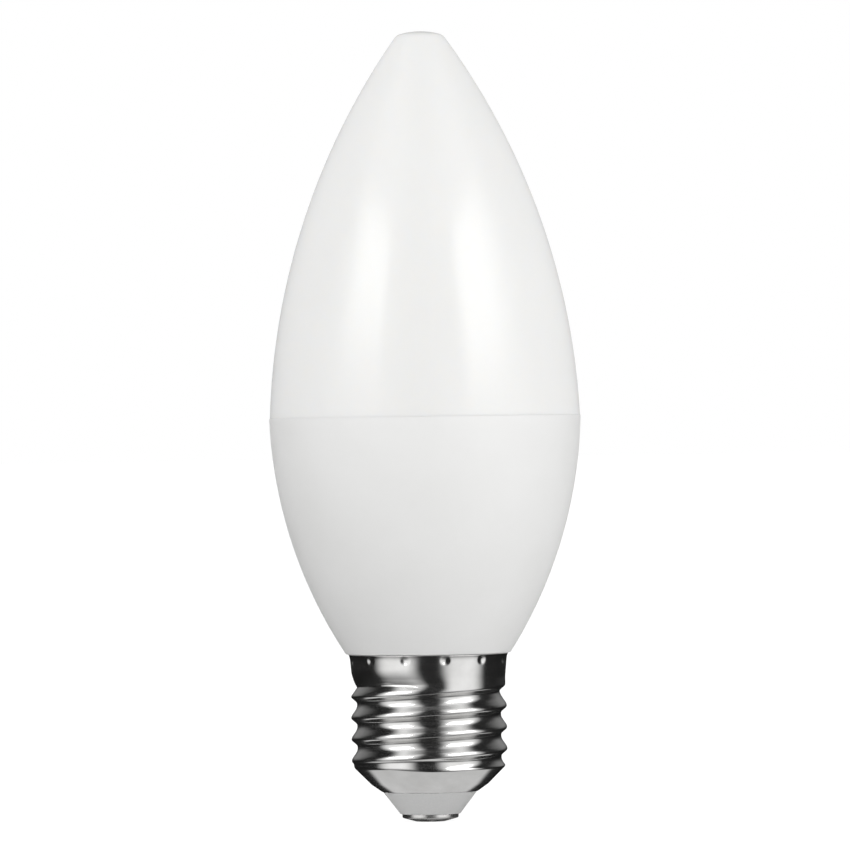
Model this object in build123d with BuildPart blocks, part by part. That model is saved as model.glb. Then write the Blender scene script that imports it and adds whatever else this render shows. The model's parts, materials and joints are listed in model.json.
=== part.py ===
from build123d import *
import os
from math import cos, radians, sin, tan

# Candle-shaped lamp on a 27 mm screw cap, in millimetres.
# z = 0 is the tip of the end contact, and +Z runs up the lamp's axis to the nose.

# Envelope of the lamp
overall_height = 133.4
body_diameter = 52.6
seam_height = 68.3
seam_step = 0.1
diffuser_lean = 2.3
housing_lean = 1.6

# Nose of the diffuser: a shoulder and a blunt tip
nose_shoulder_diameter = 10.1
nose_shoulder_drop = 2.1
nose_edge_diameter = 7.6
nose_edge_drop = 0.75
nose_flat_diameter = 4.4

# Straight bands that follow each flank's arc
diffuser_bands = 5
housing_bands = 4

# Shell of the cap, its sleeve at the crest diameter of the screw thread
thread_major = 26.3
thread_minor = 24.3
shell_sheet = 0.45
rim_height = 28.35
rim_diameter = 27.1
flare_height = 2.85
cone_angle = 45.0
cone_foot_diameter = 19.74
cone_foot = 6.28
lip_diameter = 16.1
lip_height = 5.0
lip_hole_diameter = 14.6

# Overhang of the housing's foot, and the insulator under the shell's lip
housing_overhang = 0.35
flange_inset = 0.12
insulator_foot_diameter = 10.1

# End contact: a stamped disc with a raised middle, on a pressed-in shank
contact_diameter = 9.5
contact_thickness = 1.25
contact_rim = 0.6
contact_tip_diameter = 5.2
shank_diameter = 3.0
shank_length = 4.5

# Play between a piece and the one it plugs into, on the radius
fit_clearance = 0.05

# Values worked out from the sizes above
body_radius = body_diameter / 2
sleeve_radius = thread_major / 2
bore_radius = thread_minor / 2 - shell_sheet
rim_radius = rim_diameter / 2
cone_foot_radius = cone_foot_diameter / 2
cone_spread = tan(radians(cone_angle))
cone_wall = shell_sheet / sin(radians(cone_angle))
cone_top = cone_foot + (sleeve_radius - cone_foot_radius) / cone_spread
bore_floor = cone_foot + (bore_radius - cone_foot_radius) / cone_spread + cone_wall
lip_radius = lip_diameter / 2
lip_hole_radius = lip_hole_diameter / 2
shank_radius = shank_diameter / 2


# Diffuser: the opal upper half, standing on the housing's flat rim
with BuildPart() as diffuser:
    with BuildSketch(Plane.XZ):
        with BuildLine():
            lean = (-sin(radians(diffuser_lean)), cos(radians(diffuser_lean)))
            foot = (body_radius - seam_step, seam_height)
            shoulder = (nose_shoulder_diameter / 2, overall_height - nose_shoulder_drop)
            arc = TangentArc(foot, shoulder, tangent=lean, mode=Mode.PRIVATE)
            Polyline(
                *[arc @ (band / diffuser_bands) for band in range(diffuser_bands + 1)],
                (nose_edge_diameter / 2, overall_height - nose_edge_drop),
                (nose_flat_diameter / 2, overall_height),
                (0, overall_height),
                (0, seam_height),
                close=True,
            )
        make_face()
    revolve(axis=Axis.Z)
diffuser.part.label = "diffuser"

# Housing: the satin lower half, with a neck that fills the shell's bore
with BuildPart() as housing:
    with BuildSketch(Plane.XZ):
        with BuildLine():
            lean = (-sin(radians(housing_lean)), -cos(radians(housing_lean)))
            foot = (rim_radius + housing_overhang, rim_height)
            arc = TangentArc((body_radius, seam_height), foot, tangent=lean, mode=Mode.PRIVATE)
            Polyline(
                *[arc @ (band / housing_bands) for band in range(housing_bands + 1)],
                (bore_radius - fit_clearance, rim_height),
                (bore_radius - fit_clearance, bore_floor),
                (0, bore_floor),
                (0, seam_height),
                close=True,
            )
        make_face()
    revolve(axis=Axis.Z)
housing.part.label = "housing"

# Screw shell: a turned-in lip and cone, a sleeve, and a flared collar around the neck
with BuildPart() as screw_shell:
    with BuildSketch(Plane.XZ):
        with BuildLine():
            Polyline(
                (lip_hole_radius, lip_height),
                (lip_radius, lip_height),
                (cone_foot_radius, cone_foot),
                (sleeve_radius, cone_top),
                (sleeve_radius, rim_height - flare_height),
                (rim_radius, rim_height),
                (bore_radius, rim_height),
                (bore_radius, bore_floor),
                (lip_hole_radius, bore_floor),
                close=True,
            )
        make_face()
    revolve(axis=Axis.Z)
screw_shell.part.label = "screw_shell"

# Insulator: a grey plug whose tapered foot has a flange under the shell's lip
with BuildPart() as cap_insulator:
    with BuildSketch(Plane.XZ):
        with BuildLine():
            Polyline(
                (0, contact_thickness),
                (insulator_foot_diameter / 2, contact_thickness),
                (lip_radius - flange_inset, lip_height),
                (lip_hole_radius - fit_clearance, lip_height),
                (lip_hole_radius - fit_clearance, bore_floor),
                (0, bore_floor),
                close=True,
            )
        make_face()
    revolve(axis=Axis.Z)
    with Locations((0, 0, contact_thickness)):
        Cylinder(
            shank_radius + fit_clearance,
            shank_length,
            align=(Align.CENTER, Align.CENTER, Align.MIN),
            mode=Mode.SUBTRACT,
        )
cap_insulator.part.label = "cap_insulator"

# End contact, its disc against the insulator and its shank up the hole
with BuildPart() as end_contact:
    with BuildSketch(Plane.XZ):
        with BuildLine():
            Polyline(
                (0, 0),
                (contact_tip_diameter / 2, 0),
                (contact_diameter / 2, contact_rim),
                (contact_diameter / 2, contact_thickness),
                (shank_radius, contact_thickness),
                (shank_radius, contact_thickness + shank_length),
                (0, contact_thickness + shank_length),
                close=True,
            )
        make_face()
    revolve(axis=Axis.Z)
end_contact.part.label = "end_contact"

os.makedirs("parts", exist_ok=True)
for node in (diffuser, housing, screw_shell, cap_insulator, end_contact):
    export_step(node.part, f"parts/{node.part.label}.step")
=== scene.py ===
"""Looks of a candle bulb: moulded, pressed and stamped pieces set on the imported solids."""

import json
import logging
import math
from dataclasses import dataclass
from enum import Enum

import bmesh
import bpy
import numpy as np
from mathutils import Matrix, Vector


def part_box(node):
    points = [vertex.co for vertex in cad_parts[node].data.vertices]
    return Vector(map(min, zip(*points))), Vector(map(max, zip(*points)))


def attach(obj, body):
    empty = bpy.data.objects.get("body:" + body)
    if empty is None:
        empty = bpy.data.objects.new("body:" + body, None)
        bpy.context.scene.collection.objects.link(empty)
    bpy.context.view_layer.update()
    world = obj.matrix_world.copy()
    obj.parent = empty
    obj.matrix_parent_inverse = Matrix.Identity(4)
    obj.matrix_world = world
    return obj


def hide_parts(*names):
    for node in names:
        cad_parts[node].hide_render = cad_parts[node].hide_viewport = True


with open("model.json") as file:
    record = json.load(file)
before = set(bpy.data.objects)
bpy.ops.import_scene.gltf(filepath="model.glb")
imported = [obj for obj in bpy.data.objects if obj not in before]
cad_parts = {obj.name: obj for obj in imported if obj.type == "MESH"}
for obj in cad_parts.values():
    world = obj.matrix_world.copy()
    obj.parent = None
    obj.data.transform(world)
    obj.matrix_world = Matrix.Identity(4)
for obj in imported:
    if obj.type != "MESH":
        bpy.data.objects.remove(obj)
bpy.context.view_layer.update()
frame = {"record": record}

log = logging.getLogger("candle_bulb")

MM = 0.001
BODY = "root"
# Edges sharper than this, in degrees, stay crisp in the shading
SHARP_ANGLE = 50.0
# Points nearer to the axis than this, in metres, are one pole
POLE_GAP = 1e-7

Span = tuple[float, float]
Triple = tuple[float, float, float]
Colour = Triple

# Middle of a noise's range, where nearly all of its values lie
NOISE_MIDDLE: Span = (0.3, 0.7)


def smooth_step(low: float, high: float, value: np.ndarray) -> np.ndarray:
    """Eases from 0 to 1 between two limits.

    Args:
        low: Value at which the ease starts.
        high: Value at which it ends.
        value: Values to ease.

    Returns:
        The eased values, from 0 to 1.
    """
    share = np.clip((value - low) / (high - low), 0.0, 1.0)
    return share * share * (3.0 - 2.0 * share)


def smooth_least(first: np.ndarray, second: np.ndarray, blend: float) -> np.ndarray:
    """Takes the smaller of two radii or depths, with a soft crease where they cross.

    Args:
        first: Radii or depths of one surface.
        second: Those of the other.
        blend: Width of the crease.

    Returns:
        The smaller ones.
    """
    share = np.clip(0.5 + 0.5 * (second - first) / blend, 0.0, 1.0)
    return second + (first - second) * share - blend * share * (1.0 - share)


def sines(elevations: Span) -> Span:
    """Turns two elevations, in degrees, into their sines."""
    return math.sin(math.radians(elevations[0])), math.sin(math.radians(elevations[1]))


def facing(azimuth: float, elevation: float = 0.0) -> Triple:
    """Finds the direction from the bulb to a place in the studio.

    Args:
        azimuth: Degrees from the camera towards +X.
        elevation: Degrees above the horizon.

    Returns:
        The direction, of length 1.
    """
    turn = math.radians(azimuth)
    lift = math.radians(elevation)
    return math.sin(turn) * math.cos(lift), -math.cos(turn) * math.cos(lift), math.sin(lift)


def add_object(name: str, data: bpy.types.ID) -> bpy.types.Object:
    """Makes an object and puts it in the scene.

    Args:
        name: Its name.
        data: Its mesh, light or camera.

    Returns:
        The object.
    """
    thing = bpy.data.objects.new(name, data)
    bpy.context.scene.collection.objects.link(thing)
    return thing


class Outline:
    """Half-section of a turned piece, as (radius, height) points in metres.

    The pen keeps the solid on its left. A heading is in degrees: 0 points outward and 90 up.
    """

    def __init__(self, radius: float, height: float) -> None:
        """Puts the pen down.

        Args:
            radius: Distance from the axis.
            height: Height along it.
        """
        self.points: list[Vector] = [Vector((radius, height))]
        self.reaches: list[float] = [0.0]

    def line(self, radius: float, height: float, reach: float = 0.0) -> "Outline":
        """Draws a straight stretch.

        Args:
            radius: Radius at its end.
            height: Height at its end.
            reach: How far the rounding of that end runs back along each side.

        Returns:
            The outline itself.
        """
        self.points.append(Vector((radius, height)))
        self.reaches.append(reach)
        return self

    def arc(
        self,
        radius: float,
        height: float,
        *,
        steps: int,
        leaving: float | None = None,
        arriving: float | None = None,
        reach: float = 0.0,
    ) -> "Outline":
        """Draws an arc, set by its heading at one of its ends.

        Args:
            radius: Radius at its end.
            height: Height at its end.
            steps: Straight steps that it is made of.
            leaving: Heading at its start.
            arriving: Heading at its end, if leaving isn't given.
            reach: How far the rounding of its end runs back along each side.

        Returns:
            The outline itself.
        """
        start = self.points[-1].copy()
        chord = Vector((radius, height)) - start
        heading = math.atan2(chord.y, chord.x)
        if leaving is not None:
            half_turn = heading - math.radians(leaving)
        else:
            half_turn = math.radians(arriving) - heading
        arc_radius = chord.length / (2.0 * math.sin(half_turn))
        for step in range(1, steps + 1):
            turned = half_turn * step / steps
            along = heading - half_turn + turned
            reached = 2.0 * arc_radius * math.sin(turned)
            self.line(start.x + reached * math.cos(along), start.y + reached * math.sin(along))
        self.reaches[-1] = reach
        return self

    def _walk(self, corner: int, way: int, reach: float) -> tuple[int, Vector, Vector]:
        """Walks away from a corner along the outline.

        Args:
            corner: Index of the corner.
            way: 1 to walk on, -1 to walk back.
            reach: How far to walk.

        Returns:
            The first point not passed, the place reached, and the direction of travel there.
        """
        index = corner
        left = reach
        while True:
            stride = self.points[index + way] - self.points[index]
            if stride.length >= left:
                return index + way, self.points[index] + stride.normalized() * left, stride.normalized()
            left -= stride.length
            index += way

    def rounded(self, steps: int = 8) -> list[Vector]:
        """Rounds the corners that have a reach.

        Args:
            steps: Straight steps in each rounding.

        Returns:
            The finished points, from the outline's start to its end.
        """
        points = list(self.points)
        for corner in reversed(range(1, len(self.points) - 1)):
            reach = self.reaches[corner]
            if reach == 0.0:
                continue
            before, first, back = self._walk(corner, -1, reach)
            after, last, ahead = self._walk(corner, 1, reach)
            # The curve's middle point is where the two tangents cross
            across = back.x * ahead.y - back.y * ahead.x
            gap = last - first
            share = (gap.x * ahead.y - gap.y * ahead.x) / across
            middle = first + back * share
            curve = []
            for step in range(steps + 1):
                t = step / steps
                curve.append(first * (1 - t) ** 2 + middle * (2 * t * (1 - t)) + last * t**2)
            points[before + 1 : after] = curve
        return points


class Lathe:
    """Turns rings of points about the bulb's axis into a closed mesh."""

    @staticmethod
    def angles(columns: int) -> np.ndarray:
        """Gives the angle of each column of points, from +X towards +Y."""
        return np.arange(columns) * (2.0 * math.pi / columns)

    @staticmethod
    def turn(name: str, radii: np.ndarray, heights: np.ndarray, closed: bool) -> bpy.types.Object:
        """Makes an object from a grid of rings.

        Args:
            name: Name of the piece.
            radii: One row for each ring, one column for each angle.
            heights: Height of each ring.
            closed: True if the last ring joins the first, False if the ends lie on the axis.

        Returns:
            The new object, in the scene and riding on the bulb's body.
        """
        rows, columns = radii.shape
        angles = Lathe.angles(columns)
        grid = np.empty((rows, columns, 3))
        grid[:, :, 0] = radii * np.cos(angles)
        grid[:, :, 1] = radii * np.sin(angles)
        grid[:, :, 2] = heights[:, None]

        index = np.arange(rows * columns).reshape(rows, columns)
        lower = index if closed else index[:-1]
        upper = np.roll(index, -1, axis=0) if closed else index[1:]
        faces = np.stack(
            [lower, np.roll(lower, -1, axis=1), np.roll(upper, -1, axis=1), upper], axis=-1
        ).reshape(-1, 4)

        mesh = bpy.data.meshes.new(name)
        mesh.from_pydata(grid.reshape(-1, 3).tolist(), [], faces.tolist())
        if not closed:
            Lathe._join_poles(mesh)
        mesh.shade_smooth()
        mesh.set_sharp_from_angle(angle=math.radians(SHARP_ANGLE))
        mesh.update()

        piece = add_object(name, mesh)
        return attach(piece, BODY)

    @staticmethod
    def _join_poles(mesh: bpy.types.Mesh) -> None:
        """Joins the points of a ring that lies on the axis into one.

        Args:
            mesh: Mesh to mend.
        """
        work = bmesh.new()
        work.from_mesh(mesh)
        on_axis = [point for point in work.verts if math.hypot(point.co.x, point.co.y) < POLE_GAP]
        bmesh.ops.remove_doubles(work, verts=on_axis, dist=POLE_GAP)
        work.to_mesh(mesh)
        work.free()

    @staticmethod
    def spin(name: str, section: list[Vector], columns: int) -> bpy.types.Object:
        """Turns a half-section that starts and ends on the axis.

        Args:
            name: Name of the piece.
            section: Points of the half-section.
            columns: Steps in a full turn.

        Returns:
            The new object.
        """
        radii = np.array([point.x for point in section])
        heights = np.array([point.y for point in section])
        return Lathe.turn(name, np.repeat(radii[:, None], columns, axis=1), heights, closed=False)


class Output(Enum):
    """Node that a tree ends in."""

    MATERIAL = "ShaderNodeOutputMaterial"
    WORLD = "ShaderNodeOutputWorld"
    LIGHT = "ShaderNodeOutputLight"


class Graph:
    """Node tree of a material, a world or a light, with short calls that add and join nodes."""

    def __init__(self, owner: bpy.types.ID, output: Output) -> None:
        """Starts an empty tree.

        Args:
            owner: The material, world or light.
            output: Node that its tree ends in.
        """
        owner.use_nodes = True
        self.owner = owner
        self.output = output
        self.tree = owner.node_tree
        self.tree.nodes.clear()

    @classmethod
    def material(cls, name: str) -> "Graph":
        """Starts the tree of a new material."""
        return cls(bpy.data.materials.new(name), Output.MATERIAL)

    def add(self, kind: str, **sockets: object) -> bpy.types.Node:
        """Adds a node and sets its inputs.

        Args:
            kind: Blender's name for the node.
            sockets: Values by input name, with _ for a space.

        Returns:
            The node.
        """
        node = self.tree.nodes.new(kind)
        for name, value in sockets.items():
            node.inputs[name.replace("_", " ")].default_value = value
        return node

    def join(self, source: bpy.types.NodeSocket, target: bpy.types.NodeSocket) -> None:
        """Joins an output to an input."""
        self.tree.links.new(source, target)

    def noise(self, stretch: Triple, detail: float) -> bpy.types.NodeSocket:
        """Adds a noise that is fixed to the piece.

        Args:
            stretch: Size of its grains along X, Y and Z, in metres.
            detail: Number of finer layers.

        Returns:
            The noise's value.
        """
        place = self.add("ShaderNodeTexCoord")
        mapping = self.add("ShaderNodeMapping", Scale=tuple(1.0 / size for size in stretch))
        noise = self.add("ShaderNodeTexNoise", Scale=1.0, Detail=detail)
        self.join(place.outputs["Object"], mapping.inputs["Vector"])
        self.join(mapping.outputs["Vector"], noise.inputs["Vector"])
        return noise.outputs["Fac"]

    def spread(self, value: bpy.types.NodeSocket, low: float, high: float) -> bpy.types.NodeSocket:
        """Spreads the middle of a noise over a range.

        Args:
            value: The noise's value.
            low: Result at its low end.
            high: Result at its high end.

        Returns:
            The result.
        """
        start, end = NOISE_MIDDLE
        node = self.add("ShaderNodeMapRange", From_Min=start, From_Max=end, To_Min=low, To_Max=high)
        self.join(value, node.inputs["Value"])
        return node.outputs["Result"]

    def ease(
        self, value: bpy.types.NodeSocket, start: float, end: float, low: float, high: float
    ) -> bpy.types.NodeSocket:
        """Eases from one result to another between two values.

        Args:
            value: The value.
            start: Where the ease starts.
            end: Where it ends.
            low: Result at the start.
            high: Result at the end.

        Returns:
            The result.
        """
        node = self.add("ShaderNodeMapRange", From_Min=start, From_Max=end, To_Min=low, To_Max=high)
        node.interpolation_type = "SMOOTHSTEP"
        self.join(value, node.inputs["Value"])
        return node.outputs["Result"]

    def math(self, operation: str, *terms: bpy.types.NodeSocket | float) -> bpy.types.NodeSocket:
        """Works out a sum.

        Args:
            operation: Blender's name for the operation.
            terms: Outputs or plain numbers.

        Returns:
            The result.
        """
        node = self.add("ShaderNodeMath")
        node.operation = operation
        for term, socket in zip(terms, node.inputs):
            if isinstance(term, bpy.types.NodeSocket):
                self.join(term, socket)
            else:
                socket.default_value = term
        return node.outputs["Value"]

    def vector(
        self, operation: str, first: bpy.types.NodeSocket, second: Triple | None = None
    ) -> bpy.types.NodeSocket:
        """Works on a vector.

        Args:
            operation: Blender's name for the operation.
            first: The vector.
            second: What it is multiplied by, if anything.

        Returns:
            The result, a number for a dot product.
        """
        node = self.add("ShaderNodeVectorMath")
        node.operation = operation
        self.join(first, node.inputs[0])
        if second is not None:
            node.inputs[1].default_value = second
        return node.outputs["Value" if operation == "DOT_PRODUCT" else "Vector"]

    def tint(self, value: bpy.types.NodeSocket, dark: Colour, pale: Colour) -> bpy.types.NodeSocket:
        """Goes from one colour to another with a noise.

        Args:
            value: The noise's value.
            dark: Colour at its low end.
            pale: Colour at its high end.

        Returns:
            The colour.
        """
        ramp = self.add("ShaderNodeValToRGB")
        for stop, position, colour in zip(ramp.color_ramp.elements, NOISE_MIDDLE, (dark, pale)):
            stop.position = position
            stop.color = (*colour, 1.0)
        self.join(value, ramp.inputs["Fac"])
        return ramp.outputs["Color"]

    def bump(self, value: bpy.types.NodeSocket, strength: float, height: float) -> bpy.types.NodeSocket:
        """Raises and sinks the surface's shading with a noise.

        Args:
            value: The noise's value.
            strength: Share of the effect.
            height: Height of the grain, in metres.

        Returns:
            The bent normal.
        """
        node = self.add("ShaderNodeBump", Strength=strength, Distance=height)
        self.join(value, node.inputs["Height"])
        return node.outputs["Normal"]

    def roughen(
        self,
        shader: bpy.types.Node,
        grain: bpy.types.NodeSocket,
        roughness: Span,
        strength: float,
        height: float,
    ) -> None:
        """Varies a surface's gloss and relief with a noise.

        Args:
            shader: The surface's shader.
            grain: The noise's value.
            roughness: Roughness at its low and high end.
            strength: Share of the relief.
            height: Height of the relief, in metres.
        """
        self.join(self.spread(grain, *roughness), shader.inputs["Roughness"])
        self.join(self.bump(grain, strength, height), shader.inputs["Normal"])

    def finish(self, shader: bpy.types.NodeSocket) -> bpy.types.ID:
        """Ends the tree.

        Args:
            shader: The shader that it ends with.

        Returns:
            The material, world or light.
        """
        output = self.add(self.output.value)
        self.join(shader, output.inputs["Surface"])
        return self.owner


@dataclass(frozen=True)
class OpalFinish:
    """Glossy opal plastic: light spreads under a clear skin."""

    dark: Colour = (0.872, 0.872, 0.860)
    pale: Colour = (0.892, 0.892, 0.882)
    cloud: float = 14 * MM
    ripple: float = 6 * MM
    ripple_strength: float = 0.15
    ripple_height: float = 0.02 * MM
    scatter: float = 0.85
    scatter_spread: Triple = (1.0, 0.96, 0.9)
    scatter_depth: float = 0.4 * MM
    skin: float = 0.55
    skin_roughness: float = 0.17
    skin_ior: float = 1.53

    def material(self) -> bpy.types.Material:
        """Makes the finish's material.

        Returns:
            The new material.
        """
        graph = Graph.material("opal_diffuser")
        shader = graph.add(
            "ShaderNodeBsdfPrincipled",
            Subsurface_Weight=self.scatter,
            Subsurface_Radius=self.scatter_spread,
            Subsurface_Scale=self.scatter_depth,
            Specular_IOR_Level=0.0,
            Coat_Weight=self.skin,
            Coat_Roughness=self.skin_roughness,
            Coat_IOR=self.skin_ior,
        )
        clouds = graph.noise((self.cloud, self.cloud, 2 * self.cloud), detail=3.0)
        ripples = graph.noise((self.ripple, self.ripple, self.ripple), detail=1.0)
        graph.join(graph.tint(clouds, self.dark, self.pale), shader.inputs["Base Color"])
        ripple = graph.bump(ripples, self.ripple_strength, self.ripple_height)
        graph.join(ripple, shader.inputs["Coat Normal"])
        return graph.finish(shader.outputs["BSDF"])


@dataclass(frozen=True)
class SatinFinish:
    """Satin moulded plastic with the fine grain of a spark-eroded mould."""

    dark: Colour = (0.86, 0.86, 0.85)
    pale: Colour = (0.885, 0.885, 0.877)
    cloud: float = 11 * MM
    grain: float = 0.22 * MM
    grain_strength: float = 0.25
    grain_height: float = 0.02 * MM
    roughness: Span = (0.42, 0.54)
    ior: float = 1.5

    def material(self) -> bpy.types.Material:
        """Makes the finish's material.

        Returns:
            The new material.
        """
        graph = Graph.material("satin_housing")
        shader = graph.add("ShaderNodeBsdfPrincipled", IOR=self.ior)
        clouds = graph.noise((self.cloud, self.cloud, self.cloud), detail=4.0)
        grains = graph.noise((self.grain, self.grain, self.grain), detail=2.0)
        graph.join(graph.tint(clouds, self.dark, self.pale), shader.inputs["Base Color"])
        graph.roughen(shader, grains, self.roughness, self.grain_strength, self.grain_height)
        return graph.finish(shader.outputs["BSDF"])


@dataclass(frozen=True)
class PlatedFinish:
    """Bright nickel plate over drawn sheet, with faint lines round the shell."""

    dark: Colour = (0.66, 0.655, 0.645)
    pale: Colour = (0.76, 0.757, 0.75)
    haze: float = 4 * MM
    line_length: float = 9 * MM
    line_width: float = 0.09 * MM
    line_strength: float = 0.12
    line_height: float = 0.006 * MM
    roughness: Span = (0.11, 0.17)

    def material(self) -> bpy.types.Material:
        """Makes the finish's material.

        Returns:
            The new material.
        """
        graph = Graph.material("plated_shell")
        shader = graph.add("ShaderNodeBsdfPrincipled", Metallic=1.0)
        haze = graph.noise((self.haze, self.haze, self.haze), detail=4.0)
        lines = graph.noise((self.line_length, self.line_length, self.line_width), detail=2.0)
        graph.join(graph.tint(haze, self.dark, self.pale), shader.inputs["Base Color"])
        graph.roughen(shader, lines, self.roughness, self.line_strength, self.line_height)
        return graph.finish(shader.outputs["BSDF"])


@dataclass(frozen=True)
class GreyMouldingFinish:
    """Matt grey insulating plastic with a faint speckle."""

    dark: Colour = (0.655, 0.655, 0.651)
    pale: Colour = (0.69, 0.69, 0.686)
    speck: float = 0.35 * MM
    speck_strength: float = 0.2
    speck_height: float = 0.02 * MM
    roughness: Span = (0.45, 0.6)
    ior: float = 1.5

    def material(self) -> bpy.types.Material:
        """Makes the finish's material.

        Returns:
            The new material.
        """
        graph = Graph.material("grey_insulator")
        shader = graph.add("ShaderNodeBsdfPrincipled", IOR=self.ior)
        specks = graph.noise((self.speck, self.speck, self.speck), detail=3.0)
        graph.join(graph.tint(specks, self.dark, self.pale), shader.inputs["Base Color"])
        graph.roughen(shader, specks, self.roughness, self.speck_strength, self.speck_height)
        return graph.finish(shader.outputs["BSDF"])


@dataclass(frozen=True)
class StampedFinish:
    """Plain stamped metal, a little dulled by handling."""

    dark: Colour = (0.55, 0.545, 0.535)
    pale: Colour = (0.70, 0.695, 0.685)
    dulling: float = 1.6 * MM
    dent_strength: float = 0.15
    dent_height: float = 0.01 * MM
    roughness: Span = (0.2, 0.34)

    def material(self) -> bpy.types.Material:
        """Makes the finish's material.

        Returns:
            The new material.
        """
        graph = Graph.material("contact_metal")
        shader = graph.add("ShaderNodeBsdfPrincipled", Metallic=1.0)
        dulling = graph.noise((self.dulling, self.dulling, self.dulling), detail=5.0)
        graph.join(graph.tint(dulling, self.dark, self.pale), shader.inputs["Base Color"])
        graph.roughen(shader, dulling, self.roughness, self.dent_strength, self.dent_height)
        return graph.finish(shader.outputs["BSDF"])


def screw_mount() -> dict:
    """Finds the record's mount for the screw cap."""
    return next(mount for mount in frame["record"]["mounts"] if mount["name"] == "screw_cap")


def dress(piece: bpy.types.Object, material: bpy.types.Material, node: str) -> None:
    """Gives a piece its finish and says which solid it stands for.

    Args:
        piece: The piece.
        material: Its material.
        node: The solid that it replaces.
    """
    piece.data.materials.append(material)
    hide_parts(node)
    log.info("%s stands for %s with %d faces", piece.name, node, len(piece.data.polygons))


@dataclass
class Diffuser:
    """Opal upper half of the body, from the seam to the blunt nose."""

    foot_radius: float
    foot_height: float
    top_height: float
    foot_heading: float = 92.3
    foot_edge: float = 0.02 * MM
    nose_radius: float = 3.95 * MM
    nose_drop: float = 0.65 * MM
    nose_edge: float = 0.75 * MM
    flank_steps: int = 72
    dome_steps: int = 14
    columns: int = 192

    @classmethod
    def from_frame(cls) -> "Diffuser":
        """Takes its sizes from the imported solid."""
        low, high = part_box("diffuser")
        return cls(foot_radius=high.x, foot_height=low.z, top_height=high.z)

    def build(self) -> bpy.types.Object:
        """Turns the moulding: a long flank, a rounded shoulder and a low dome.

        Returns:
            The piece.
        """
        outline = Outline(0.0, self.foot_height)
        outline.line(self.foot_radius, self.foot_height, reach=self.foot_edge)
        outline.arc(
            self.nose_radius,
            self.top_height - self.nose_drop,
            steps=self.flank_steps,
            leaving=self.foot_heading,
            reach=self.nose_edge,
        )
        outline.arc(0.0, self.top_height, steps=self.dome_steps, arriving=180.0)
        return Lathe.spin("opal_diffuser", outline.rounded(), self.columns)

    def dress(self, piece: bpy.types.Object) -> None:
        """Gives the moulding its opal gloss."""
        dress(piece, OpalFinish().material(), "diffuser")


@dataclass
class Housing:
    """Satin lower half of the body, tapering from the seam to the screw shell."""

    rim_radius: float
    rim_height: float
    neck_radius: float
    neck_foot: float
    foot_radius: float
    foot_height: float
    rim_heading: float = 88.4
    rim_edge: float = 0.03 * MM
    foot_edge: float = 0.25 * MM
    flank_steps: int = 56
    columns: int = 192

    @classmethod
    def from_frame(cls, overhang: float = 0.35 * MM, neck_gap: float = 1.5 * MM) -> "Housing":
        """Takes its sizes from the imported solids.

        Args:
            overhang: How far the foot stands out past the shell's rim.
            neck_gap: How far the neck lies inside the shell's sleeve.

        Returns:
            The housing.
        """
        low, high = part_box("housing")
        shell_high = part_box("screw_shell")[1]
        sleeve = screw_mount()["dims"]["r_mm"] * MM
        return cls(
            rim_radius=high.x,
            rim_height=high.z,
            neck_radius=sleeve - neck_gap,
            neck_foot=low.z,
            foot_radius=shell_high.x + overhang,
            foot_height=shell_high.z,
        )

    def build(self) -> bpy.types.Object:
        """Turns the moulding, with the neck that fills the shell.

        Returns:
            The piece.
        """
        outline = Outline(0.0, self.neck_foot)
        outline.line(self.neck_radius, self.neck_foot)
        outline.line(self.neck_radius, self.foot_height)
        outline.line(self.foot_radius, self.foot_height, reach=self.foot_edge)
        outline.arc(
            self.rim_radius,
            self.rim_height,
            steps=self.flank_steps,
            arriving=self.rim_heading,
            reach=self.rim_edge,
        )
        outline.line(0.0, self.rim_height)
        return Lathe.spin("satin_housing", outline.rounded(), self.columns)

    def dress(self, piece: bpy.types.Object) -> None:
        """Gives the moulding its satin grain."""
        dress(piece, SatinFinish().material(), "housing")


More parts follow.
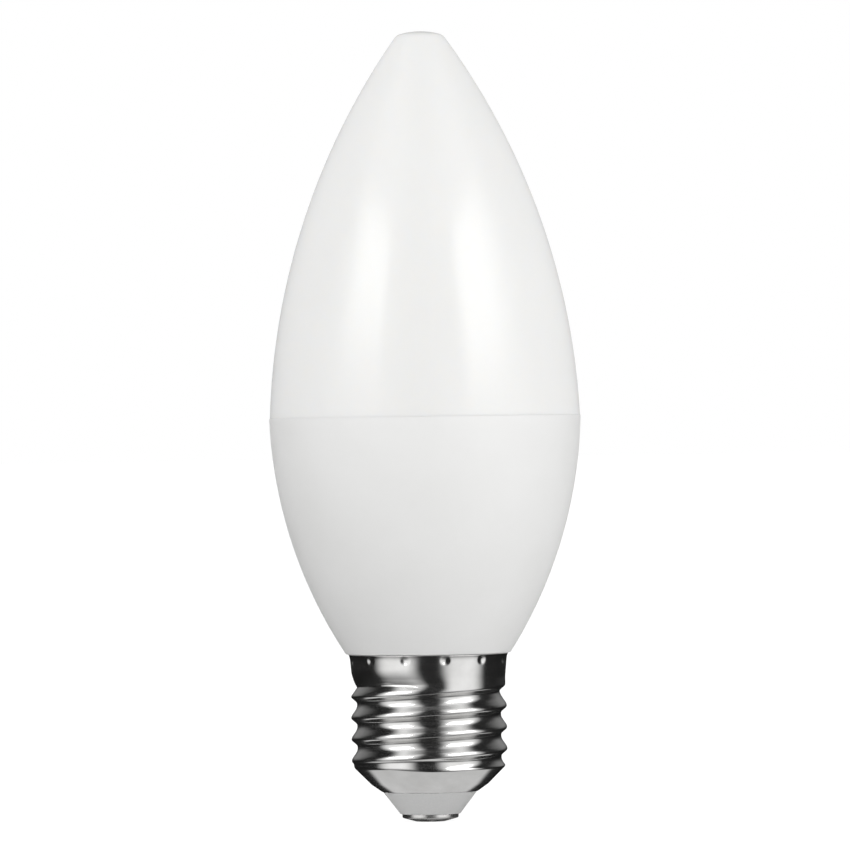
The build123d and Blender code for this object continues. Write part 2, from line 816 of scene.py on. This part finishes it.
@dataclass
class ScrewShell:
    """Rolled sheet shell: a lip and cone, a right-hand knuckle thread, and a crimped collar.

    Angles about the axis run from the right over the back, the left and the front. A share is
    a part of that turn, and a flank's slope is in degrees from the axis.
    """

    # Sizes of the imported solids
    crest_radius: float
    rim_radius: float
    rim_height: float
    lip_height: float
    floor_height: float

    # Lip, cone and bore
    lip_radius: float = 8.05 * MM
    lip_hole_radius: float = 7.3 * MM
    lip_edge: float = 0.22 * MM
    cone_foot_radius: float = 9.87 * MM
    cone_foot_height: float = 6.28 * MM
    cone_blend: float = 0.3 * MM
    bore_radius: float = 11.7 * MM

    # Thread, whose turns count from the crest at this height at the right, up and down
    crest_height: float = 12.12 * MM
    pitch: float = 3.629 * MM
    first_crest: int = -1
    last_crest: int = 2
    thread_depth: float = 1.0 * MM
    upper_flank: float = 34.5
    lower_flank: float = 50.0
    crest_blend: float = 0.2 * MM
    root_blend: float = 0.3 * MM

    # Groove under the first crest
    first_depth: float = 0.36 * MM
    first_rise: Span = (0.66, 0.86)

    # Groove over the last crest: its upper wall is sharp at the right, and then slow
    sharp_start: float = 2.7 * MM
    sharp_rise: float = 0.9 * MM
    slow_start: float = 1.3 * MM
    slow_rise: float = 3.0 * MM
    slow_share: float = 0.4
    groove_fade: Span = (0.65, 0.8)
    valley_blend: float = 0.1 * MM

    # Collar, from the last crests up to its curled rim
    crest_fade: Span = (20.9 * MM, 22.0 * MM)
    collar_foot: float = 24.3 * MM
    collar_radius: float = 12.95 * MM
    collar_taper: float = 0.36 * MM
    curl_power: float = 12.0
    rim_edge: float = 0.16 * MM

    # Ring of crimps, the first of them this many degrees from the right
    crimp_count: int = 12
    first_crimp: float = 12.5
    crimp_height: float = 27.4 * MM
    crimp_radius: float = 0.95 * MM
    crimp_depth: float = 0.18 * MM

    # Steps of the mesh
    row_step: float = 0.15 * MM
    rim_steps: int = 5
    columns: int = 432

    @classmethod
    def from_frame(cls) -> "ScrewShell":
        """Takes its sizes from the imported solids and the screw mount."""
        low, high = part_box("screw_shell")
        return cls(
            crest_radius=screw_mount()["dims"]["r_mm"] * MM,
            rim_radius=high.x,
            rim_height=high.z,
            lip_height=low.z,
            floor_height=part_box("housing")[0].z,
        )

    def _flank(self, away: np.ndarray, angle: float) -> np.ndarray:
        """Works out how deep a flank lies, rounded where it leaves the crest.

        Args:
            away: Distance along the axis from the crest.
            angle: Slope of the flank, in degrees from the axis.

        Returns:
            The depths below the crest.
        """
        drop = away * math.tan(math.radians(angle)) - self.crest_blend
        return -smooth_least(-drop, np.zeros_like(drop), self.crest_blend)

    def _thread(self, turns: np.ndarray, depth: np.ndarray) -> np.ndarray:
        """Works out the depth of an endless rolled thread, steeper under its crests than over them.

        Args:
            turns: Height along the helix, counted in turns from a crest.
            depth: Depth of the groove's floor.

        Returns:
            The depths below the crest.
        """
        above = (turns - np.floor(turns)) * self.pitch
        over = self._flank(above, self.upper_flank)
        under = self._flank(self.pitch - above, self.lower_flank)
        flanks = np.minimum(over, under)
        return smooth_least(flanks, depth, self.root_blend)

    def _groove(self, heights: np.ndarray, angles: np.ndarray) -> np.ndarray:
        """Works out the depth of the thread's groove, which runs out in the collar.

        Args:
            heights: Heights, as a column.
            angles: Angles about the axis, as a row.

        Returns:
            The depths.
        """
        share = angles / (2.0 * math.pi)
        turns = (heights - self.crest_height) / self.pitch - share

        # Under the first crest the groove is shallow at the left and deepens across the front
        deepening = smooth_step(*self.first_rise, share)
        first = self.first_depth + (self.thread_depth - self.first_depth) * deepening
        thread = self._thread(turns, np.where(turns < self.first_crest, first, self.thread_depth))

        # Over the last crest the groove's upper wall slows down, and then its depth fades
        above = (turns - self.last_crest) * self.pitch
        slow = smooth_step(0.0, self.slow_share, share)
        start = self.sharp_start + (self.slow_start - self.sharp_start) * slow
        rise = self.sharp_rise + (self.slow_rise - self.sharp_rise) * slow
        depth = self.thread_depth * (1.0 - smooth_step(*self.groove_fade, share))
        wall = depth * (1.0 - np.clip((above - start) / rise, 0.0, 1.0)) ** 2
        slow_groove = smooth_least(self._flank(above, self.upper_flank), wall, self.valley_blend)
        slow_groove = np.maximum(slow_groove, 0.0)
        last_groove = np.where(above < self.pitch, thread, 0.0)
        ending = last_groove + (slow_groove - last_groove) * slow
        return np.where(above < 0.0, thread, ending)

    def _collar(self, heights: np.ndarray) -> np.ndarray:
        """Works out the radius over the crests and of the collar, which widens and curls at its rim.

        Args:
            heights: Heights, as a column.

        Returns:
            The radii.
        """
        share = np.clip((heights - self.collar_foot) / (self.rim_height - self.collar_foot), 0.0, 1.0)
        curl = self.rim_radius - self.collar_radius - self.collar_taper
        fade = smooth_step(*self.crest_fade, heights)
        foot = self.crest_radius + (self.collar_radius - self.crest_radius) * fade
        return foot + self.collar_taper * share + curl * share**self.curl_power

    def _crimps(self, heights: np.ndarray, angles: np.ndarray) -> np.ndarray:
        """Works out how deep the ring of punched crimps goes.

        Args:
            heights: Heights, as a column.
            angles: Angles about the axis, as a row.

        Returns:
            The depths.
        """
        spacing = 2.0 * math.pi / self.crimp_count
        offset = (angles - math.radians(self.first_crimp)) / spacing
        aside = (offset - np.round(offset)) * spacing * self.collar_radius
        away = (aside**2 + (heights - self.crimp_height) ** 2) / self.crimp_radius**2
        return self.crimp_depth * np.clip(1.0 - away, 0.0, 1.0) ** 2

    def _outside(self, heights: np.ndarray) -> np.ndarray:
        """Works out the shell's outer radius.

        Args:
            heights: Heights of the rows.

        Returns:
            Radii, one row for each height and one column for each angle.
        """
        level = heights[:, None]
        angles = Lathe.angles(self.columns)[None, :]
        # The cone opens at 45 degrees, so its radius grows as fast as its height
        cone = self.cone_foot_radius + (level - self.cone_foot_height)
        wall = self._collar(level) - self._groove(level, angles)
        return smooth_least(wall, cone, self.cone_blend) - self._crimps(level, angles)

    def build(self) -> bpy.types.Object:
        """Makes the sheet from rings: foot, outside, rim and bore.

        Returns:
            The piece.
        """
        foot = Outline(self.lip_hole_radius, self.lip_height)
        foot.line(self.lip_radius, self.lip_height, reach=self.lip_edge)
        foot.line(self.cone_foot_radius, self.cone_foot_height)
        foot_points = foot.rounded()[:-1]
        rim_start = self.rim_height - self.rim_edge
        rows = round((rim_start - self.cone_foot_height) / self.row_step)
        heights = np.linspace(self.cone_foot_height, rim_start, rows)
        outside = self._outside(heights)

        # The rim's edge is a quarter turn, and the bore is plain
        quarter = np.linspace(0.0, math.pi / 2, self.rim_steps + 1)[1:]
        edge_radii = outside[-1].mean() - self.rim_edge * (1.0 - np.cos(quarter))
        edge_heights = rim_start + self.rim_edge * np.sin(quarter)
        plain_radii = [self.bore_radius, self.bore_radius, self.lip_hole_radius]
        plain_heights = [self.rim_height, self.floor_height, self.floor_height]

        before = np.array([point.x for point in foot_points])
        after = np.concatenate([edge_radii, plain_radii])
        radii = np.concatenate(
            [
                np.repeat(before[:, None], self.columns, axis=1),
                outside,
                np.repeat(after[:, None], self.columns, axis=1),
            ]
        )
        levels = np.concatenate(
            [[point.y for point in foot_points], heights, edge_heights, plain_heights]
        )
        return Lathe.turn("plated_screw_shell", radii, levels, closed=True)

    def dress(self, piece: bpy.types.Object) -> None:
        """Gives the sheet its bright plate."""
        dress(piece, PlatedFinish().material(), "screw_shell")


@dataclass
class CapInsulator:
    """Grey moulding between the shell's lip and the end contact."""

    flange_radius: float
    flange_height: float
    foot_height: float
    top_height: float
    hole_top: float
    foot_radius: float = 5.05 * MM
    plug_radius: float = 7.25 * MM
    hole_radius: float = 1.55 * MM
    flange_edge: float = 0.15 * MM
    foot_edge: float = 0.12 * MM
    columns: int = 128

    @classmethod
    def from_frame(cls) -> "CapInsulator":
        """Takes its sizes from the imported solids."""
        low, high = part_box("cap_insulator")
        return cls(
            flange_radius=high.x,
            flange_height=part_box("screw_shell")[0].z,
            foot_height=low.z,
            top_height=high.z,
            hole_top=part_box("end_contact")[1].z,
        )

    def build(self) -> bpy.types.Object:
        """Turns the moulding, with the contact's hole in its foot.

        Returns:
            The piece.
        """
        outline = Outline(0.0, self.hole_top)
        outline.line(self.hole_radius, self.hole_top)
        outline.line(self.hole_radius, self.foot_height)
        outline.line(self.foot_radius, self.foot_height, reach=self.foot_edge)
        outline.line(self.flange_radius, self.flange_height, reach=self.flange_edge)
        outline.line(self.plug_radius, self.flange_height)
        outline.line(self.plug_radius, self.top_height)
        outline.line(0.0, self.top_height)
        return Lathe.spin("grey_insulator", outline.rounded(), self.columns)

    def dress(self, piece: bpy.types.Object) -> None:
        """Gives the moulding its matt grey."""
        dress(piece, GreyMouldingFinish().material(), "cap_insulator")


@dataclass
class EndContact:
    """Stamped disc with a raised flat middle, on the shank that holds it."""

    disc_radius: float
    tip_height: float
    disc_top: float
    shank_top: float
    rim_height: float = 0.62 * MM
    tip_radius: float = 2.5 * MM
    shank_radius: float = 1.5 * MM
    rim_edge: float = 0.22 * MM
    columns: int = 128

    @classmethod
    def from_frame(cls) -> "EndContact":
        """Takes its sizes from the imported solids."""
        low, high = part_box("end_contact")
        return cls(
            disc_radius=high.x,
            tip_height=low.z,
            disc_top=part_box("cap_insulator")[0].z,
            shank_top=high.z,
        )

    def build(self) -> bpy.types.Object:
        """Turns the stamping: a flat tip, a sloping flank, a rim and a shank.

        Returns:
            The piece.
        """
        outline = Outline(0.0, self.tip_height)
        outline.line(self.tip_radius, self.tip_height)
        outline.line(self.disc_radius, self.rim_height, reach=self.rim_edge)
        outline.line(self.disc_radius, self.disc_top)
        outline.line(self.shank_radius, self.disc_top)
        outline.line(self.shank_radius, self.shank_top)
        outline.line(0.0, self.shank_top)
        return Lathe.spin("stamped_contact", outline.rounded(), self.columns)

    def dress(self, piece: bpy.types.Object) -> None:
        """Gives the stamping its plain metal."""
        dress(piece, StampedFinish().material(), "end_contact")


@dataclass
class Camera:
    """Level long-lens view from the front, rolled a little as the picture is."""

    distance: float = 1.4
    aim_height: float = 66.9 * MM
    picture_pixels: float = 850.0
    pixels_per_metre: float = 5920.0
    sensor: float = 36.0
    roll: float = -0.814

    def build(self) -> None:
        """Places the camera and makes it the scene's own."""
        data = bpy.data.cameras.new("front_view")
        data.sensor_width = self.sensor
        data.lens = self.sensor * self.distance * self.pixels_per_metre / self.picture_pixels
        camera = add_object("front_view", data)
        level = Matrix.Rotation(math.radians(90.0), 4, "X")
        roll = Matrix.Rotation(math.radians(self.roll), 4, "Z")
        place = Matrix.Translation((0.0, -self.distance, self.aim_height))
        camera.matrix_world = place @ level @ roll
        bpy.context.scene.camera = camera


@dataclass
class Softbox:
    """Rectangular panel that makes a highlight, and fades towards its foot and its outer side."""

    name: str
    azimuth: float
    elevation: float
    width: float
    height: float
    radiance: float
    foot_fade: float
    side_fade: float
    distance: float = 1.0
    aim_height: float = 70 * MM

    def build(self) -> None:
        """Places the light, which shows only in reflections."""
        data = bpy.data.lights.new(self.name, "AREA")
        data.shape = "RECTANGLE"
        data.size = self.width
        data.size_y = self.height
        data.energy = self.radiance * math.pi * self.width * self.height
        self._fade(data)
        light = add_object(self.name, data)
        away = Vector(facing(self.azimuth, self.elevation))
        light.location = Vector((0.0, 0.0, self.aim_height)) + away * self.distance
        light.rotation_mode = "QUATERNION"
        light.rotation_quaternion = away.to_track_quat("Z", "Y")
        light.visible_camera = False
        light.visible_diffuse = False

    def _fade(self, data: bpy.types.AreaLight) -> None:
        """Dims the light towards its foot and its outer side.

        Args:
            data: The light.
        """
        graph = Graph(data, Output.LIGHT)
        place = graph.add("ShaderNodeNewGeometry")
        split = graph.add("ShaderNodeSeparateXYZ")
        graph.join(place.outputs["Parametric"], split.inputs["Vector"])
        outer = 1.0 if self.azimuth > 0.0 else 0.0
        inner = abs(outer - self.side_fade)
        along = graph.ease(split.outputs["Y"], 0.0, self.foot_fade, 0.0, 1.0)
        across = graph.ease(split.outputs["X"], outer, inner, 0.0, 1.0)
        emission = graph.add("ShaderNodeEmission")
        graph.join(graph.math("MULTIPLY", along, across), emission.inputs["Strength"])
        graph.finish(emission.outputs["Emission"])


@dataclass(frozen=True)
class Window:
    """Soft bright stretch of the tent's wall, which only glows below its sill."""

    azimuth: float
    half_width: float
    brightness: float
    sill: Span = (-66.0, -6.0)
    glow: float = 0.1


@dataclass
class Tent:
    """Dark dome that only reflections show, with soft windows in its wall and a pale table below.

    Heights on its wall are elevations in degrees. The table's front and sides are level distances
    from the bulb, for each metre of depth under it.
    """

    radius: float = 1.6
    rings: int = 24
    dark: float = 0.013
    window_core: float = 0.25
    shade: float = 0.025
    shade_top: Span = (-34.0, -14.0)
    ceiling: float = 0.03
    cove: Span = (57.0, 71.0)
    table: float = 0.68
    table_front: Span = (-0.28, -0.06)
    table_back: Span = (-40.0, -31.0)
    table_sides: Span = (0.85, 1.2)
    least_depth: float = 0.01
    windows: tuple[Window, ...] = (
        Window(azimuth=-50.5, half_width=40.0, brightness=1.1),
        Window(azimuth=53.5, half_width=40.5, brightness=1.04),
        Window(azimuth=180.0, half_width=70.0, brightness=0.25, sill=(-4.0, 16.0), glow=0.0),
    )

    def build(self) -> None:
        """Sets the dome up round the bulb."""
        mesh = bpy.data.meshes.new("tent")
        work = bmesh.new()
        bmesh.ops.create_uvsphere(
            work, u_segments=2 * self.rings, v_segments=self.rings, radius=self.radius
        )
        work.to_mesh(mesh)
        work.free()
        graph = Graph.material("tent")
        shader = graph.add("ShaderNodeEmission")
        graph.join(self._brightness(graph), shader.inputs["Strength"])
        mesh.materials.append(graph.finish(shader.outputs["Emission"]))
        tent = add_object("tent", mesh)
        tent.visible_camera = False
        tent.visible_diffuse = False
        tent.visible_transmission = False
        tent.visible_shadow = False

    def _brightness(self, graph: Graph) -> bpy.types.NodeSocket:
        """Works out how bright the tent is in each direction.

        Args:
            graph: The tent's material.

        Returns:
            The brightness, where 1 is white.
        """
        place = graph.add("ShaderNodeTexCoord").outputs["Object"]
        ahead = graph.vector("NORMALIZE", place)
        level = graph.vector("NORMALIZE", graph.vector("MULTIPLY", place, (1.0, 1.0, 0.0)))
        sine = graph.vector("DOT_PRODUCT", ahead, (0.0, 0.0, 1.0))

        wall = graph.ease(sine, *sines(self.shade_top), self.shade, self.dark)
        for window in self.windows:
            across = graph.vector("DOT_PRODUCT", level, facing(window.azimuth))
            edge = math.cos(math.radians(window.half_width))
            core = math.cos(math.radians(window.half_width * self.window_core))
            share = graph.ease(across, edge, core, 0.0, window.brightness)
            over_sill = graph.ease(sine, *sines(window.sill), window.glow, 1.0)
            wall = graph.math("MULTIPLY_ADD", share, over_sill, wall)
        under_cove = graph.ease(sine, *sines(self.cove), 1.0, 0.0)
        ceiling = graph.ease(sine, *sines(self.cove), 0.0, self.ceiling)
        wall = graph.math("MULTIPLY_ADD", wall, under_cove, ceiling)

        # The pale part of the table lies under the bulb and behind it, and ends at both sides
        depth = graph.math("MAXIMUM", graph.math("MULTIPLY", sine, -1.0), self.least_depth)
        back = graph.vector("DOT_PRODUCT", ahead, (0.0, 1.0, 0.0))
        side = graph.math("ABSOLUTE", graph.vector("DOT_PRODUCT", ahead, (1.0, 0.0, 0.0)))
        pale = graph.ease(sine, *sines(self.table_back), 1.0, 0.0)
        for reach, edge, low, high in (
            (back, self.table_front, 0.0, 1.0),
            (side, self.table_sides, 1.0, 0.0),
        ):
            on_table = graph.ease(graph.math("DIVIDE", reach, depth), *edge, low, high)
            pale = graph.math("MULTIPLY", pale, on_table)
        dim = graph.math("MULTIPLY", wall, graph.math("SUBTRACT", 1.0, pale))
        return graph.math("MULTIPLY_ADD", pale, self.table, dim)


@dataclass
class Studio:
    """Pale floor, white surround that lights from low down, softboxes and tent."""

    low_fill: float = 2.49
    high_fill: float = 0.5
    fill_edge: Span = (12.0, 34.0)
    fill_azimuth: float = -31.0
    front_fill: float = 1.12
    back_fill: float = 0.77
    floor_size: float = 30.0
    floor_share: float = 0.3
    floor_white: float = 0.86
    # Painted light in the floor's bounce: its colour at the left and at the right, and the half-width
    # of the change, standing in for more lamp light on the right of the floor
    painted_left_bounce: float = 0.2
    painted_right_bounce: float = 0.82
    painted_bounce_edge: float = 0.07

    def build(self) -> None:
        """Builds the whole studio."""
        self.surround()
        self.floor()
        left = Softbox(
            name="left_softbox",
            azimuth=-54.5,
            elevation=21.0,
            width=0.73,
            height=0.61,
            radiance=4.8,
            foot_fade=0.66,
            side_fade=0.54,
        )
        right = Softbox(
            name="right_softbox",
            azimuth=56.5,
            elevation=19.5,
            width=0.86,
            height=0.71,
            radiance=4.3,
            foot_fade=0.6,
            side_fade=0.58,
        )
        for prop in (left, right, Tent()):
            prop.build()

    def surround(self) -> None:
        """Makes a world that is white to see, and as a light a bright band above the horizon."""
        graph = Graph(bpy.data.worlds.new("white_surround"), Output.WORLD)
        split = graph.add("ShaderNodeSeparateXYZ")
        ahead = graph.add("ShaderNodeTexCoord").outputs["Generated"]
        graph.join(ahead, split.inputs["Vector"])
        level = graph.ease(split.outputs["Z"], *sines(self.fill_edge), self.low_fill, self.high_fill)
        front = graph.vector("DOT_PRODUCT", ahead, facing(self.fill_azimuth))
        share = graph.ease(front, -1.0, 1.0, self.back_fill, self.front_fill)
        fill = graph.add("ShaderNodeBackground")
        graph.join(graph.math("MULTIPLY", level, share), fill.inputs["Strength"])
        white = graph.add("ShaderNodeBackground")
        for background in (fill, white):
            background.inputs["Color"].default_value = (1.0, 1.0, 1.0, 1.0)
        path = graph.add("ShaderNodeLightPath")
        seen = path.outputs["Is Camera Ray"]
        for kind in ("Is Glossy Ray", "Is Transmission Ray"):
            seen = graph.math("MAXIMUM", seen, path.outputs[kind])
        choice = graph.add("ShaderNodeMixShader")
        graph.join(seen, choice.inputs["Fac"])
        graph.join(fill.outputs["Background"], choice.inputs[1])
        graph.join(white.outputs["Background"], choice.inputs[2])
        bpy.context.scene.world = graph.finish(choice.outputs["Shader"])

    def floor(self) -> None:
        """Lays a floor that looks white and still takes the bulb's shadow; what it bounces onto the
        bulb is painted light, darker at the left and lighter at the right.
        """
        half = self.floor_size / 2
        mesh = bpy.data.meshes.new("floor")
        mesh.from_pydata(
            [(-half, -half, 0.0), (half, -half, 0.0), (half, half, 0.0), (-half, half, 0.0)],
            [],
            [(0, 1, 2, 3)],
        )
        graph = Graph.material("pale_floor")
        path = graph.add("ShaderNodeLightPath")
        split = graph.add("ShaderNodeSeparateXYZ")
        graph.join(graph.add("ShaderNodeTexCoord").outputs["Object"], split.inputs["Vector"])
        # Painted light: the bounce colour goes from dark at the left to pale at the right, as if a lamp
        # lit the right of the floor more
        edge = self.painted_bounce_edge
        shade = graph.ease(split.outputs["X"], -edge, edge, self.painted_left_bounce, self.painted_right_bounce)
        bounce = graph.add("ShaderNodeBsdfDiffuse")
        graph.join(shade, bounce.inputs["Color"])
        grey = (self.floor_share, self.floor_share, self.floor_share, 1.0)
        shadowed = graph.add("ShaderNodeBsdfDiffuse", Color=grey)
        white = graph.add("ShaderNodeEmission", Strength=self.floor_white)
        shown = graph.add("ShaderNodeAddShader")
        choice = graph.add("ShaderNodeMixShader")
        graph.join(shadowed.outputs["BSDF"], shown.inputs[0])
        graph.join(white.outputs["Emission"], shown.inputs[1])
        graph.join(path.outputs["Is Camera Ray"], choice.inputs["Fac"])
        graph.join(bounce.outputs["BSDF"], choice.inputs[1])
        graph.join(shown.outputs["Shader"], choice.inputs[2])
        mesh.materials.append(graph.finish(choice.outputs["Shader"]))
        floor = add_object("floor", mesh)
        floor.visible_glossy = False


def main() -> None:
    """Builds and dresses the bulb, then lights it and sets the view."""
    logging.basicConfig(level=logging.INFO)
    bpy.context.scene.view_settings.view_transform = "Standard"
    for kind in (Diffuser, Housing, ScrewShell, CapInsulator, EndContact):
        sub_assembly = kind.from_frame()
        sub_assembly.dress(sub_assembly.build())
    Studio().build()
    Camera().build()


if __name__ == "__main__":
    main()
